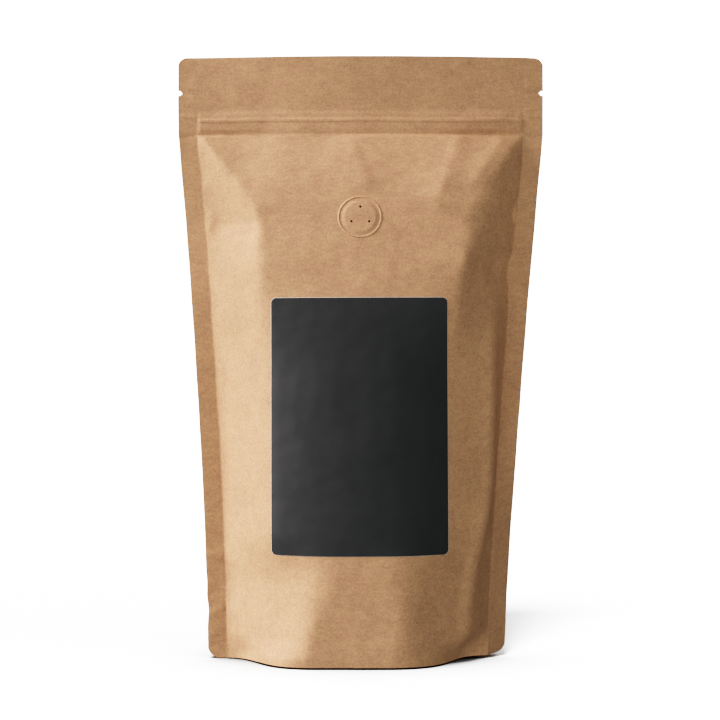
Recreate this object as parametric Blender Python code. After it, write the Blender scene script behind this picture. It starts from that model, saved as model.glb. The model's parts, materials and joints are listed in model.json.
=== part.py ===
"""Stand-up coffee pouch: kraft laminate walls, side seals, a folded base gusset, a closed zip
strip, a die-cut label on the front and a one-way gas valve.

Metres, +Z up. The origin is the centre of the base on the floor, and the front faces -Y.
"""
import functools
import math

import bmesh
import bpy
import numpy as np

# ---- Driving dimensions -------------------------------------------------------------------
FLAT_WIDTH = 0.160          # across the flat header, edge to edge
HEIGHT = 0.2633             # standing, floor to top edge
SIDE_SEAL = 0.008           # width of each welded side fin
HEADER_THICKNESS = 0.0008   # the two walls pressed together
BASE_NARROWING = 0.0147     # how far each side edge has come in at the floor
TOP_CORNER = 0.0042
FOOT_CORNER = 0.0055
FOOT_LIFT = 0.002           # the foot corners hover this far above the floor

GUSSET_FOLD = 0.045         # height of the fold where it meets the side seal
SKIRT_SEAL = 0.006          # height of the base seal at the middle of each wall
FLOOR_SHARE = 0.45          # the gusset lies flat on the floor over this share of the width

ZIP_FOOT = 0.2295           # the zip strip runs from here
ZIP_TOP = 0.2410            # to here
ZIP_SWELL = 0.0006          # how far it lifts each wall
HEADER_BOW = 0.007          # the header's middle leans this far forward

NOTCH_HEIGHT = 0.248
NOTCH_DEPTH = 0.0022
NOTCH_OPENING = 0.0024

FIT_GAP = 0.0003            # between a piece stuck on the wall and the wall
LABEL_WIDTH = 0.077
LABEL_BOTTOM = 0.0477
LABEL_TOP = 0.1577
LABEL_CORNER = 0.0022
LABEL_THICKNESS = 0.0003

VALVE_HEIGHT = 0.1925
VALVE_RADIUS = 0.0092
VALVE_BRIM = 0.0003         # thickness of the rim
VALVE_CROWN = 0.0007        # thickness of the raised middle
CROWN_RADIUS = 0.0062
PINHOLE_CIRCLE = 0.0044
PINHOLE_RADIUS = 0.0005

HALF_WALL = FLAT_WIDTH / 2 - SIDE_SEAL      # from the middle of a wall to a side seal
HALF_THICKNESS = HEADER_THICKNESS / 2
ARC = np.linspace(0.0, 1.0, 181)            # samples along a half wall, 0 middle, 1 seal


# ---- The wall's surface -------------------------------------------------------------------
def ramp(value, low, high):
    """0 below low, 1 above high, with a smooth S between them."""
    share = np.clip((value - low) / (high - low), 0.0, 1.0)
    return share * share * (3.0 - 2.0 * share)


def edge_half_width(z):
    """Half the outer width at a height. A wall that bulges draws its side edges in."""
    down = np.clip((ZIP_FOOT - z) / ZIP_FOOT, 0.0, 1.0)
    return FLAT_WIDTH / 2 - BASE_NARROWING * (1.0 - (1.0 - down) ** 1.5)


def ridge_place(z, left):
    """Where the shoulder ridge crosses a half wall: it starts in the zip's corner and runs
    down and inwards, more steeply on the left."""
    foot, power = (0.188, 1.15) if left else (0.163, 1.1)
    rise = np.clip((z - foot) / (ZIP_FOOT - foot), 0.0, 1.0)
    return 0.59 + 0.39 * rise**power


def slope_shape(z, left):
    """How the wall's slope is shared out along a half wall, from 0 to 1, at one height."""
    ridge = ridge_place(z, left)
    width = 0.12 if left else 0.24
    shoulder = ramp(ARC, ridge - width / 2, ridge + width / 2)
    body = ARC**1.15
    foot = ramp(ARC, 0.12, 0.62) * (1.0 - 0.92 * ramp(ARC, 0.6, 1.0))
    roundness = ramp(0.195 - z, 0.0, 0.075)
    pinch = ramp(0.052 - z, 0.0, 0.052)
    upper = shoulder + (body - shoulder) * roundness
    return upper + (foot - upper) * pinch


@functools.lru_cache(maxsize=None)
def half_section(z, left):
    """(x, depth) along a half wall at one height. The wall can't stretch, so its slope is
    scaled until the seals are as far apart as the side edges say."""
    shape = slope_shape(z, left)
    step = ARC[1] * HALF_WALL
    wanted = edge_half_width(z) - SIDE_SEAL
    low, high = 0.0, math.radians(89.0)
    for _ in range(40):
        steepest = (low + high) / 2
        run = np.cos(steepest * shape)
        if (run[1:] + run[:-1]).sum() * step / 2 > wanted:
            low = steepest
        else:
            high = steepest
    run, fall = np.cos(low * shape), np.sin(low * shape)
    x = np.concatenate([[0.0], np.cumsum((run[1:] + run[:-1]) * step / 2)])
    drop = np.concatenate([[0.0], np.cumsum((fall[1:] + fall[:-1]) * step / 2)])
    return x, drop[-1] - drop


def header_bow(x, z):
    """How far forward the pouch's middle plane leans, most at the top and at the middle."""
    return HEADER_BOW * ramp(z, 0.1, HEIGHT) * (1.0 - (2.0 * x / FLAT_WIDTH) ** 2)


def zip_swell(z, arc):
    """Extra thickness over the zip strip, which is crushed flat in the side seals."""
    across = ramp(z, ZIP_FOOT - 0.002, ZIP_FOOT + 0.003) * ramp(-z, -ZIP_TOP - 0.003, -ZIP_TOP)
    return ZIP_SWELL * across * ramp(-arc, -1.02, -0.96)


def wall_point(u, z, front, offset=0.0):
    """The point of a wall at u along its width from the middle (left is negative) and at
    height z, moved out by offset."""
    arc = abs(u) / HALF_WALL
    x_line, depth_line = half_section(z, (u < 0) == front)
    other_depth = half_section(z, (u < 0) != front)[1]
    if arc <= 1.0:
        # Both halves of a wall meet at the same depth in the middle.
        match = (depth_line[0] + other_depth[0]) / 2 / max(depth_line[0], 1e-9)
        x, depth = np.interp(arc, ARC, x_line), np.interp(arc, ARC, depth_line) * match
    else:
        x, depth = x_line[-1] + abs(u) - HALF_WALL, 0.0
    x = math.copysign(x, u)
    out = HALF_THICKNESS + depth + zip_swell(z, arc) + offset
    return np.array((x, (-out if front else out) - header_bow(x, z), z))


def corner_inset(z):
    """How far a rounded corner takes the outer edge in at this height above a foot corner,
    or below a top one."""
    inset = 0.0
    for height, radius in ((z, FOOT_CORNER), (HEIGHT - z, TOP_CORNER)):
        if height < radius:
            inset = radius - math.sqrt(radius**2 - (radius - height) ** 2)
    return inset


# ---- Grid lines ---------------------------------------------------------------------------
def spread(stations, counts):
    """Values along a line of stations, with an even count of steps in each stretch."""
    values = [stations[0]]
    for start, end, count in zip(stations, stations[1:], counts):
        values += list(np.linspace(start, end, count + 1)[1:])
    return values


def columns():
    """Places across the wall, from the left edge to the right edge."""
    half = spread((0.0, HALF_WALL * 0.55, HALF_WALL, FLAT_WIDTH / 2), (5, 7, 2))
    return [-u for u in reversed(half[1:])] + half


def rows():
    """Heights up the wall. They close up round the corners, the shoulder and the zip."""
    foot = [FOOT_CORNER * (1.0 - math.cos(angle)) for angle in np.linspace(0, math.pi / 2, 4)]
    top = [HEIGHT - TOP_CORNER * (1.0 - math.cos(a)) for a in np.linspace(math.pi / 2, 0, 4)]
    middle = spread((foot[-1], GUSSET_FOLD, 0.170, ZIP_FOOT), (4, 8, 8))
    strip = spread((ZIP_FOOT, ZIP_TOP + 0.003, top[0]), (4, 2))
    return foot + middle[1:] + strip[1:-1] + top


def lifted(z, u):
    """A row's height over the raised foot corners. The lift fades out at the gusset fold."""
    lift = FOOT_LIFT * ramp(abs(u) / HALF_WALL, 0.6, 1.0)
    return z + lift * max(0.0, 1.0 - z / GUSSET_FOLD)


# ---- The pouch ----------------------------------------------------------------------------
def wall_grid(front):
    """Rows of points over a whole wall, fins included."""
    grid = []
    for z in rows():
        line = []
        for u in columns():
            point = wall_point(u, z, front)
            fin_share = max(0.0, (abs(u) - HALF_WALL) / SIDE_SEAL)
            point[0] -= math.copysign(corner_inset(z) * fin_share, u)
            point[2] = lifted(z, u)
            line.append(point)
        grid.append(line)
    return grid


def gusset_column(u):
    """The gusset from the front skirt, over the floor, to the back skirt, at one column."""
    arc = abs(u) / HALF_WALL
    foot = lifted(0.0, u)
    seal_height = SKIRT_SEAL + (GUSSET_FOLD - SKIRT_SEAL) * arc**3
    fold_height = GUSSET_FOLD * max(0.0, (arc - FLOOR_SHARE) / (1.0 - FLOOR_SHARE)) ** 2
    sides = []
    for front in (True, False):
        sign = -1.0 if front else 1.0
        skirt = []
        for share in (0.0, 0.5, 1.0):
            z = seal_height * share
            point = wall_point(u, z, front, -HALF_THICKNESS)
            skirt.append(np.array((point[0], point[1], max(lifted(z, u), foot))))
        seal_point = skirt[-1]
        reach = abs(seal_point[1])
        slope = []
        for share in (0.2, 0.4, 0.6):
            fall = max(0.0, 1.0 - share / 0.6) ** 2
            z = fold_height + (seal_point[2] - fold_height) * fall
            slope.append(np.array((seal_point[0], sign * reach * (1.0 - share), z)))
        sides.append(skirt + slope)
    front_side, back_side = sides
    ridge = np.array((front_side[-1][0], 0.0, fold_height))
    return front_side + [ridge] + back_side[::-1]


def add_quads(bm, lower, upper):
    """Faces between two lines of vertices, leaving out what has no area."""
    for a, b, c, d in zip(lower, lower[1:], upper[1:], upper):
        corners = list(dict.fromkeys((a, b, c, d)))
        if len(corners) > 2:
            bm.faces.new(corners)


def make_pouch():
    """One closed skin: front wall, back wall, the edges between them, and the gusset, which
    leaves the space between the two skirts open underneath."""
    bm = bmesh.new()
    front = [[bm.verts.new(p) for p in line] for line in wall_grid(True)]
    back = [[bm.verts.new(p) for p in line] for line in wall_grid(False)]
    for lower, upper in zip(front, front[1:]):
        add_quads(bm, lower, upper)
    for lower, upper in zip(back, back[1:]):
        add_quads(bm, upper, lower)
    add_quads(bm, front[-1], back[-1])
    for edge in (0, -1):
        add_quads(bm, [line[edge] for line in front], [line[edge] for line in back])

    places = columns()
    inner = [i for i, u in enumerate(places) if abs(u) <= HALF_WALL + 1e-9]
    gusset = [[bm.verts.new(p) for p in gusset_column(places[i])] for i in inner]
    for near, far in zip(gusset, gusset[1:]):
        add_quads(bm, near, far)
    add_quads(bm, [front[0][i] for i in inner], [line[0] for line in gusset])
    add_quads(bm, [line[-1] for line in gusset], [back[0][i] for i in inner])

    # Under each fin the two walls are welded, with no gusset between them.
    for fin, tip in ((range(inner[0], -1, -1), gusset[0][0]),
                     (range(inner[-1], len(places)), gusset[-1][0])):
        first, second = fin[0], fin[1]
        bm.faces.new((front[0][first], front[0][second], back[0][second], back[0][first], tip))
        add_quads(bm, [front[0][i] for i in fin[1:]], [back[0][i] for i in fin[1:]])

    bmesh.ops.remove_doubles(bm, verts=bm.verts, dist=1e-6)
    bmesh.ops.recalc_face_normals(bm, faces=bm.faces)
    return finish_object(bm, "pouch", KRAFT)


# ---- What is stuck on the front -----------------------------------------------------------
def make_label():
    """A thin sheet that follows the front wall, with rounded corners."""
    across = spread((0.0, LABEL_CORNER, LABEL_WIDTH - LABEL_CORNER, LABEL_WIDTH), (2, 10, 2))
    up = spread((LABEL_BOTTOM, LABEL_BOTTOM + LABEL_CORNER, LABEL_TOP - LABEL_CORNER, LABEL_TOP),
                (2, 10, 2))
    bm = bmesh.new()
    layers = []
    for offset in (FIT_GAP, FIT_GAP + LABEL_THICKNESS):
        grid = []
        for z in up:
            line = []
            for place in across:
                u, v = round_off(place - LABEL_WIDTH / 2, z - (LABEL_TOP + LABEL_BOTTOM) / 2)
                point = wall_point(u, v + (LABEL_TOP + LABEL_BOTTOM) / 2, True, offset)
                line.append(bm.verts.new(point))
            grid.append(line)
        layers.append(grid)
        for lower, upper in zip(grid, grid[1:]):
            add_quads(bm, lower, upper)
    inner, outer = layers
    for pick in (lambda g: g[0], lambda g: g[-1],
                 lambda g: [line[0] for line in g], lambda g: [line[-1] for line in g]):
        add_quads(bm, pick(inner), pick(outer))
    bmesh.ops.recalc_face_normals(bm, faces=bm.faces)
    return finish_object(bm, "label", LABEL_BLACK)


def round_off(u, v):
    """Moves a grid point of the label's corner square onto the corner's arc."""
    centre_u = LABEL_WIDTH / 2 - LABEL_CORNER
    centre_v = (LABEL_TOP - LABEL_BOTTOM) / 2 - LABEL_CORNER
    du, dv = abs(u) - centre_u, abs(v) - centre_v
    if du <= 0.0 or dv <= 0.0:
        return u, v
    shrink = max(du, dv) / math.hypot(du, dv)
    return (math.copysign(centre_u + du * shrink, u), math.copysign(centre_v + dv * shrink, v))


def make_valve():
    """The valve's cap: a flat rim, a conical step and a raised middle with three pinholes."""
    sides = 32
    profile = ((VALVE_RADIUS, 0.0), (VALVE_RADIUS, VALVE_BRIM),
               (VALVE_RADIUS - 0.0006, VALVE_BRIM), (CROWN_RADIUS, VALVE_CROWN))
    bm = bmesh.new()
    rings = []
    for radius, height in profile:
        ring = []
        for i in range(sides):
            angle = 2 * math.pi * i / sides
            ring.append(bm.verts.new(wall_point(radius * math.cos(angle),
                                                VALVE_HEIGHT + radius * math.sin(angle),
                                                True, FIT_GAP + height)))
        rings.append(ring)
    for lower, upper in zip(rings, rings[1:]):
        add_quads(bm, lower + lower[:1], upper + upper[:1])
    bm.faces.new(rings[0])
    bm.faces.new(rings[-1])
    bmesh.ops.triangulate(bm, faces=[f for f in bm.faces if len(f.verts) > 4])
    bmesh.ops.recalc_face_normals(bm, faces=bm.faces)
    valve = finish_object(bm, "valve", KRAFT)

    for i in range(3):
        angle = math.radians(90 + 120 * i)
        spot = wall_point(PINHOLE_CIRCLE * math.cos(angle),
                          VALVE_HEIGHT + PINHOLE_CIRCLE * math.sin(angle), True)
        cutter = cylinder_cutter(f"pinhole_cutter_{i + 1}", spot)
        cut = valve.modifiers.new("pinhole", "BOOLEAN")
        cut.operation = "DIFFERENCE"
        cut.object = cutter
    return valve


# ---- Cutters ------------------------------------------------------------------------------
def hide_as_cutter(cutter):
    cutter.hide_render = True
    cutter.display_type = "WIRE"
    return cutter


def cylinder_cutter(name, spot):
    bm = bmesh.new()
    bmesh.ops.create_cone(bm, cap_ends=True, segments=10, radius1=PINHOLE_RADIUS,
                          radius2=PINHOLE_RADIUS, depth=0.006)
    cutter = finish_object(bm, name, KRAFT)
    cutter.location = spot
    cutter.rotation_euler.x = math.pi / 2
    return hide_as_cutter(cutter)


def notch_cutter(name, side):
    """A small house-shaped tear notch: square at the edge, pointed inside."""
    bm = bmesh.new()
    half = NOTCH_OPENING / 2
    outline = ((0.002, -half), (0.002, half), (-NOTCH_DEPTH * 0.45, half),
               (-NOTCH_DEPTH, 0.0), (-NOTCH_DEPTH * 0.45, -half))
    face = bm.faces.new([bm.verts.new((side * x, -0.01, z)) for x, z in outline])
    pulled = bmesh.ops.extrude_face_region(bm, geom=[face])
    moved = [v for v in pulled["geom"] if isinstance(v, bmesh.types.BMVert)]
    bmesh.ops.translate(bm, verts=moved, vec=(0.0, 0.02, 0.0))
    bmesh.ops.recalc_face_normals(bm, faces=bm.faces)
    cutter = finish_object(bm, name, KRAFT)
    cutter.location = (side * FLAT_WIDTH / 2, 0.0, NOTCH_HEIGHT)
    return hide_as_cutter(cutter)


def cut_tear_notches(pouch):
    for name, side in (("notch_cutter_left", -1), ("notch_cutter_right", 1)):
        cut = pouch.modifiers.new("tear notch", "BOOLEAN")
        cut.operation = "DIFFERENCE"
        cut.object = notch_cutter(name, side)


# ---- Objects and materials ----------------------------------------------------------------
def make_material(name, colour, roughness):
    material = bpy.data.materials.new(name)
    material.use_nodes = True
    shader = material.node_tree.nodes["Principled BSDF"]
    shader.inputs["Base Color"].default_value = (*colour, 1.0)
    shader.inputs["Roughness"].default_value = roughness
    shader.inputs["Metallic"].default_value = 0.0
    return material


def finish_object(bm, name, material):
    mesh = bpy.data.meshes.new(name)
    bm.to_mesh(mesh)
    bm.free()
    mesh.shade_smooth()
    mesh.set_sharp_from_angle(angle=math.radians(35))
    mesh.materials.append(material)
    thing = bpy.data.objects.new(name, mesh)
    bpy.context.scene.collection.objects.link(thing)
    return thing


for old in list(bpy.data.objects):
    bpy.data.objects.remove(old)

KRAFT = make_material("kraft laminate", (0.52, 0.33, 0.19), 0.6)
LABEL_BLACK = make_material("matt black label", (0.035, 0.035, 0.037), 0.5)

body = make_pouch()
cut_tear_notches(body)
make_label()
make_valve()
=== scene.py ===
"""A filled stand-up coffee pouch: kraft laminate walls, a blank black label and a gas valve.

The CAD model gives every size and place. This file gives the pouch its paper surface: the
shoulders that fold in from the zip, the creased side seals, the base gusset and the finish.
"""
import json
import math

import bmesh
import bpy
import numpy as np
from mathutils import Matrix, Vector

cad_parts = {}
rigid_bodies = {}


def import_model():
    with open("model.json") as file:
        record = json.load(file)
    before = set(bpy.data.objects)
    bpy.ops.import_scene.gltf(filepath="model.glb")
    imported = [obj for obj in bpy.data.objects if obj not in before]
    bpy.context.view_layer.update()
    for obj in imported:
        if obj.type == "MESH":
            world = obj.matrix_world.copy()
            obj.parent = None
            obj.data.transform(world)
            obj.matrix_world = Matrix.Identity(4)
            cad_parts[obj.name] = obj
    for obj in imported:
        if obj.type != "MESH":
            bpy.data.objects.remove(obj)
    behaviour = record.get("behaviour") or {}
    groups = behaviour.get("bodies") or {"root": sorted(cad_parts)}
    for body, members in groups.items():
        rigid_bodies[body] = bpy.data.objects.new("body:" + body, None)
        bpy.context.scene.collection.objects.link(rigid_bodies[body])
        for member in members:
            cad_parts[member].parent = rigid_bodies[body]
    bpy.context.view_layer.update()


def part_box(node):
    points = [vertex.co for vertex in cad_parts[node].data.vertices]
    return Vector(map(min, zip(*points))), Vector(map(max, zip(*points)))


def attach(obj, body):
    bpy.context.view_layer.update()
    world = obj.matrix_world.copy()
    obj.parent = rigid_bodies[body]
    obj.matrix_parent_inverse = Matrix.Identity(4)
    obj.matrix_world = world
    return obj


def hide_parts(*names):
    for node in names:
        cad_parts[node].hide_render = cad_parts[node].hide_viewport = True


bl_info = {
    "name": "Stand-up Coffee Pouch",
    "version": (1, 0, 0),
    "blender": (4, 5, 0),
    "location": "3D View > Sidebar > Pouch",
    "description": "Builds a filled kraft stand-up pouch with its label, valve and studio",
    "category": "Add Mesh",
}

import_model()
POUCH_LOW, POUCH_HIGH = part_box("pouch")
LABEL_LOW, LABEL_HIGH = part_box("label")
VALVE_LOW, VALVE_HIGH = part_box("valve")

MM = 0.001
FLAT_WIDTH = POUCH_HIGH.x - POUCH_LOW.x
HEIGHT = POUCH_HIGH.z
SIDE_SEAL = 8.0 * MM
HALF_WALL = FLAT_WIDTH / 2 - SIDE_SEAL      # from the middle of a wall to a side seal
LEFT_NARROWING = (13.6 * MM, 1.6)           # how far the side edge comes in at the floor, and
RIGHT_NARROWING = (15.8 * MM, 1.3)          # how soon below the zip
HEADER_SHIFT = 0.45 * MM                    # the header stands this far to the right
HEADER_BOW = 7.0 * MM                       # how far the header's middle leans forward
BOW_FOOT = 100.0 * MM                       # and from what height up the pouch leans with it
SHIFT_FOOT = 120.0 * MM                     # the shift and the strip's lean fade out down to here
GUSSET_FOLD = 45.0 * MM                     # where the gusset's fold meets the side seals
SKIRT_SEAL = 6.0 * MM                       # height of the base seal in the middle
FLOOR_SHARE = 0.45                          # the gusset lies on the floor over this share
BELLY = 35.9 * MM                           # how far a wall's middle stands out at the floor
LEFT_GATHER = 4.2 * MM                      # paper that the folds under the zip take up
RIGHT_GATHER = 2.2 * MM
TOP_CORNER = 4.2 * MM                       # radii of the rounded corners
FOOT_CORNER = 5.5 * MM
RIM_LIFT = 0.9 * MM                         # the skirts' edges stay this far off the floor,
LEFT_LIFT = 0.5 * MM                        # and the two foot corners this far
RIGHT_LIFT = 1.5 * MM
SOFT_WAVE = 0.16 * MM                       # height of the soft waves in the paper,
FINE_WAVE = 0.03 * MM                       # and of the fine ones
STRIP_LEAN = 1.3 * MM                       # the strip's middle already leans out this far

ZIP_FOOT = 229.5 * MM
ZIP_RIDGE = (234.9 * MM, 236.4 * MM)        # the pressed profile, a thin raised ridge
ZIP_TOP = 241.0 * MM

NOTCH_HEIGHT = 247.8 * MM
CUT = 0.03 * MM                             # a cut's two sides lie this far apart in the mesh
VALVE_PLACE = (VALVE_LOW.z + VALVE_HIGH.z) / 2      # the height of its middle

WHITE_LIGHT = (1.0, 1.0, 1.0)
ROOM_LEAN = (-0.27, -1.24, -0.23)           # the room's light grows in this direction
CAMERA_AWAY = 0.95                          # from the seals' plane
CAMERA_HEIGHT = 0.1309
FIELD = 0.3158                              # the width that fills the picture in that plane
FILM_WHITE = 8.0                            # the light that prints as paper white
FILM_CONTRAST = 1.468                       # how steep the tone curve is at its middle
FILM_REACH = 1.05                           # what it would print at most

LABEL_LIFT = 0.05 * MM                      # the adhesive's gap between label and wall
CUT_EDGE = 0.15 * MM                        # the die leaves a slope this wide round the label
POCKET_RADIUS = 7.6 * MM                    # the wall's opening behind the valve
POCKET_DEPTH = 3.0 * MM
CAP_PAPER = 0.3 * MM                        # thickness of the paper over the valve,
CAP_LIFT = 0.06 * MM                        # which lies this far off the wall

ARC_SAMPLES = 241                           # a wall's table, across half of it and up it
ROW_SAMPLES = 526
LABEL_ROWS = 90
LABEL_COLUMNS = 64
VALVE_SPOKES = 160
SHARP_EDGE = math.radians(35.0)             # edges that turn by more than this look sharp


# ---- Sizes and colours --------------------------------------------------------------------
def linear(hex_colour):
    """An sRGB hex colour as linear red, green, blue."""
    parts = [int(hex_colour[i:i + 2], 16) / 255 for i in (1, 3, 5)]
    return [p / 12.92 if p <= 0.04045 else ((p + 0.055) / 1.055) ** 2.4 for p in parts]


def colour(name, description, hex_colour):
    """A colour setting."""
    return bpy.props.FloatVectorProperty(name=name, description=description, subtype="COLOR",
                                         size=3, min=0.0, max=1.0, default=linear(hex_colour))


def length(name, description, default):
    """A length setting, its default in metres."""
    return bpy.props.FloatProperty(name=name, description=description, default=default,
                                   min=0.0, precision=5, unit="LENGTH")


class PouchSettings(bpy.types.PropertyGroup):
    """The pouch's walls and paper."""
    wall_pair: length("Sealed Thickness", "Both walls pressed together", 0.45 * MM)
    mesh_step: length("Mesh Step", "Distance between grid lines on the walls", 1.25 * MM)
    notch_depth: length("Notch Depth", "How far a tear notch cuts in", 1.95 * MM)
    notch_opening: length("Notch Opening", "A tear notch's width at the edge", 2.1 * MM)
    light_fibre: colour("Light Fibre", "The paler fibres of the kraft liner", "#C59872")
    dark_fibre: colour("Dark Fibre", "The darker fibres of the kraft liner", "#A77E60")


class LabelSettings(bpy.types.PropertyGroup):
    """The die-cut label on the front wall."""
    width: length("Width", "Seen from the front", 75.7 * MM)
    corner: length("Corner Radius", "Radius of the cut corners", 2.3 * MM)
    thickness: length("Thickness", "Face stock and adhesive", 0.13 * MM)
    turn: bpy.props.FloatProperty(
        name="Turn", description="How far off square the label was stuck on",
        default=math.radians(0.18), unit="ROTATION")
    black: colour("Coating", "The matt black printed coat", "#323232")
    core: colour("Core", "The face stock's white paper, seen at its cut edge", "#C9C2B8")


class ValveSettings(bpy.types.PropertyGroup):
    """The one-way valve welded behind the front wall, and the pinholes over it."""
    bead_circle: length("Bead Circle", "Radius of the raised line round the valve", 8.75 * MM)
    bead: length("Bead Height", "Height of that line", 0.28 * MM)
    shoulder_radius: length("Shoulder Radius", "Where the valve's cap starts to rise", 8.2 * MM)
    cap_radius: length("Cap Radius", "Radius of the cap's flat top", 6.1 * MM)
    cap: length("Cap Height", "How far the cap stands out", 0.46 * MM)
    holes: bpy.props.IntProperty(name="Pinholes", description="Number of pinholes", default=3,
                                 min=1, max=12)
    hole_circle: length("Pinhole Circle", "Radius of the circle they lie on", 4.4 * MM)
    hole_radius: length("Pinhole Radius", "Radius of each pinhole", 0.52 * MM)


class StudioSettings(bpy.types.PropertyGroup):
    """The light that the pouch stands in."""
    key: bpy.props.FloatProperty(name="Key", description="Strength of the soft box", default=4.65)
    room: bpy.props.FloatProperty(name="Room", description="Light from all round", default=0.58)
    key_colour: bpy.props.FloatVectorProperty(
        name="Key Colour", description="Tint of the soft box", subtype="COLOR", size=3,
        default=(1.0, 0.93, 0.965))
    room_colour: bpy.props.FloatVectorProperty(
        name="Room Colour", description="Tint of the light from all round", size=3,
        default=(1.0, 1.04, 1.03))


def smooth(value, low, high):
    """0 below low, 1 above high, with a smooth S between them."""
    share = np.clip((value - low) / (high - low), 0.0, 1.0)
    return share * share * (3.0 - 2.0 * share)


# ---- The walls ----------------------------------------------------------------------------
def near(z, place, reach):
    """1 at a height, given in millimetres, and dying away over the reach."""
    return np.exp(-((z / MM - place) / reach) ** 2)


def edge_half_width(z, narrowing):
    """Half the outer width at a height: a wall that bulges draws its side edges in."""
    down = np.clip((ZIP_FOOT - z) / ZIP_FOOT, 0.0, 1.0)
    most, bend = narrowing
    return FLAT_WIDTH / 2 - most * (1.0 - (1.0 - down) ** bend)


def belly(z):
    """How far the middle of a wall stands out at a height: most near the floor."""
    return BELLY * np.maximum(0.0, 1.0 - (z / ZIP_FOOT) ** 2.8) ** 0.94


def shoulder_ridge(z, start, lowest, even, bend):
    """Where the fold runs that comes down from the zip's end, as a share of the half wall."""
    rise = np.clip((z - start) / (ZIP_FOOT - start), 0.0, 1.0)
    return lowest + (0.985 - lowest) * (even * rise + (1.0 - even) * rise**bend)


def beside_seal(arc, flat):
    """1 over the wall and 0 next to its seal, where it stays flat for a width in mm."""
    edge = 1.0 - flat * MM / HALF_WALL
    return 1.0 - smooth(arc, edge - 0.012, edge + 0.006)


def slope_left(arc, z):
    """How steeply the front wall falls from its middle to its left seal, as a share of its
    steepest, and how much spare paper its folds take up."""
    ridge = shoulder_ridge(z, 189.5 * MM, 0.575, 0.0, 1.55)
    width = 0.022 + 0.06 * smooth(190.0 * MM - z, 0.0, 16.0 * MM)
    shoulder = 0.03 + 0.97 * smooth(arc, ridge - width, ridge + width)
    body = 0.5 * np.minimum(arc / 0.5, 1.0) ** 1.3 + 0.5 * smooth(arc, 0.46, 0.64) + 0.0 * z
    low = smooth(12.0 * MM - z, 0.0, 10.0 * MM)
    width = 0.09 + 0.08 * smooth(z, 14.0 * MM, 46.0 * MM) + 0.03 * low
    crease = 0.325 - 0.09 * smooth(z, 5.0 * MM, 45.0 * MM)
    foot = (0.04 + 0.78 * smooth(arc, crease - width, crease + width)
            + 0.18 * smooth(arc, 0.4, 0.75))
    rounded = smooth(arc, 0.22, 0.68) * (1.0 - 0.7 * smooth(arc, 0.8, 1.0))
    foot = foot + (rounded - foot) * low
    upper = shoulder + (body - shoulder) * smooth(188.0 * MM - z, 0.0, 62.0 * MM)
    shape = upper + (foot - upper) * smooth(57.0 * MM - z, 0.0, 24.0 * MM)
    return shape * beside_seal(arc, 0.3), gathered(z, LEFT_GATHER)


def slope_right(arc, z):
    """The same to the right seal, where the wall stays broad and then drops steeply."""
    ridge = shoulder_ridge(z, 158.0 * MM, 0.58, 0.5, 3.6)
    width = (0.035 + 0.075 * smooth(215.0 * MM - z, 0.0, 12.0 * MM)
             - 0.06 * smooth(190.0 * MM - z, 0.0, 10.0 * MM))
    shoulder = smooth(arc, ridge - width, ridge + width) * (0.8 + 0.2 * smooth(arc, ridge, 1.0))
    low = smooth(15.0 * MM - z, 0.0, 15.0 * MM)
    brink = 0.70 + 0.14 * smooth(z, 8.0 * MM, 93.0 * MM)
    drop = smooth(arc, brink - 0.035, brink + 0.045)
    streak = -0.12 * np.exp(-((arc - brink + 0.05) / 0.03) ** 2)
    body = 0.30 * np.minimum(arc / 0.55, 1.0) + streak
    body = body + (1.0 - body) * drop
    width = 0.06 + 0.12 * smooth(z, 14.0 * MM, 46.0 * MM)
    foot = 0.46 * smooth(arc, 0.29 - width, 0.29 + width) + 1.6 * streak
    foot = foot + (1.0 - foot) * drop
    rounded = smooth(arc, 0.12, 0.66) * (1.0 - 0.9 * smooth(arc, 0.76, 0.96))
    foot = foot + (rounded - foot) * low
    upper = shoulder + (body - shoulder) * smooth(176.0 * MM - z, 0.0, 50.0 * MM)
    shape = upper + (foot - upper) * smooth(64.0 * MM - z, 0.0, 26.0 * MM)
    flat = 0.5 * smooth(z, 150.0 * MM, 160.0 * MM) + 1.6 * (near(z, 170, 7) + near(z, 195, 5))
    return shape * beside_seal(arc, flat), gathered(z, RIGHT_GATHER)


def slope_back(arc, z):
    """Either half of the back wall, which is softer and rounder than the front."""
    ridge = shoulder_ridge(z, 170.0 * MM, 0.59, 0.0, 1.1)
    shoulder = smooth(arc, ridge - 0.16, ridge + 0.16)
    body = np.minimum(arc / 0.9, 1.0) ** 1.4 + 0.0 * z
    foot = smooth(arc, 0.1, 0.6) + 0.0 * z
    upper = shoulder + (body - shoulder) * smooth(180.0 * MM - z, 0.0, 60.0 * MM)
    shape = upper + (foot - upper) * smooth(64.0 * MM - z, 0.0, 30.0 * MM)
    return shape, gathered(z, RIGHT_GATHER)


def gathered(z, most):
    """How much more paper than the flat wall's width the folds under the zip take up."""
    return most * smooth(z, 128.0 * MM, 185.0 * MM) * smooth(ZIP_FOOT - z, 0.0, 18.0 * MM)


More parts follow.
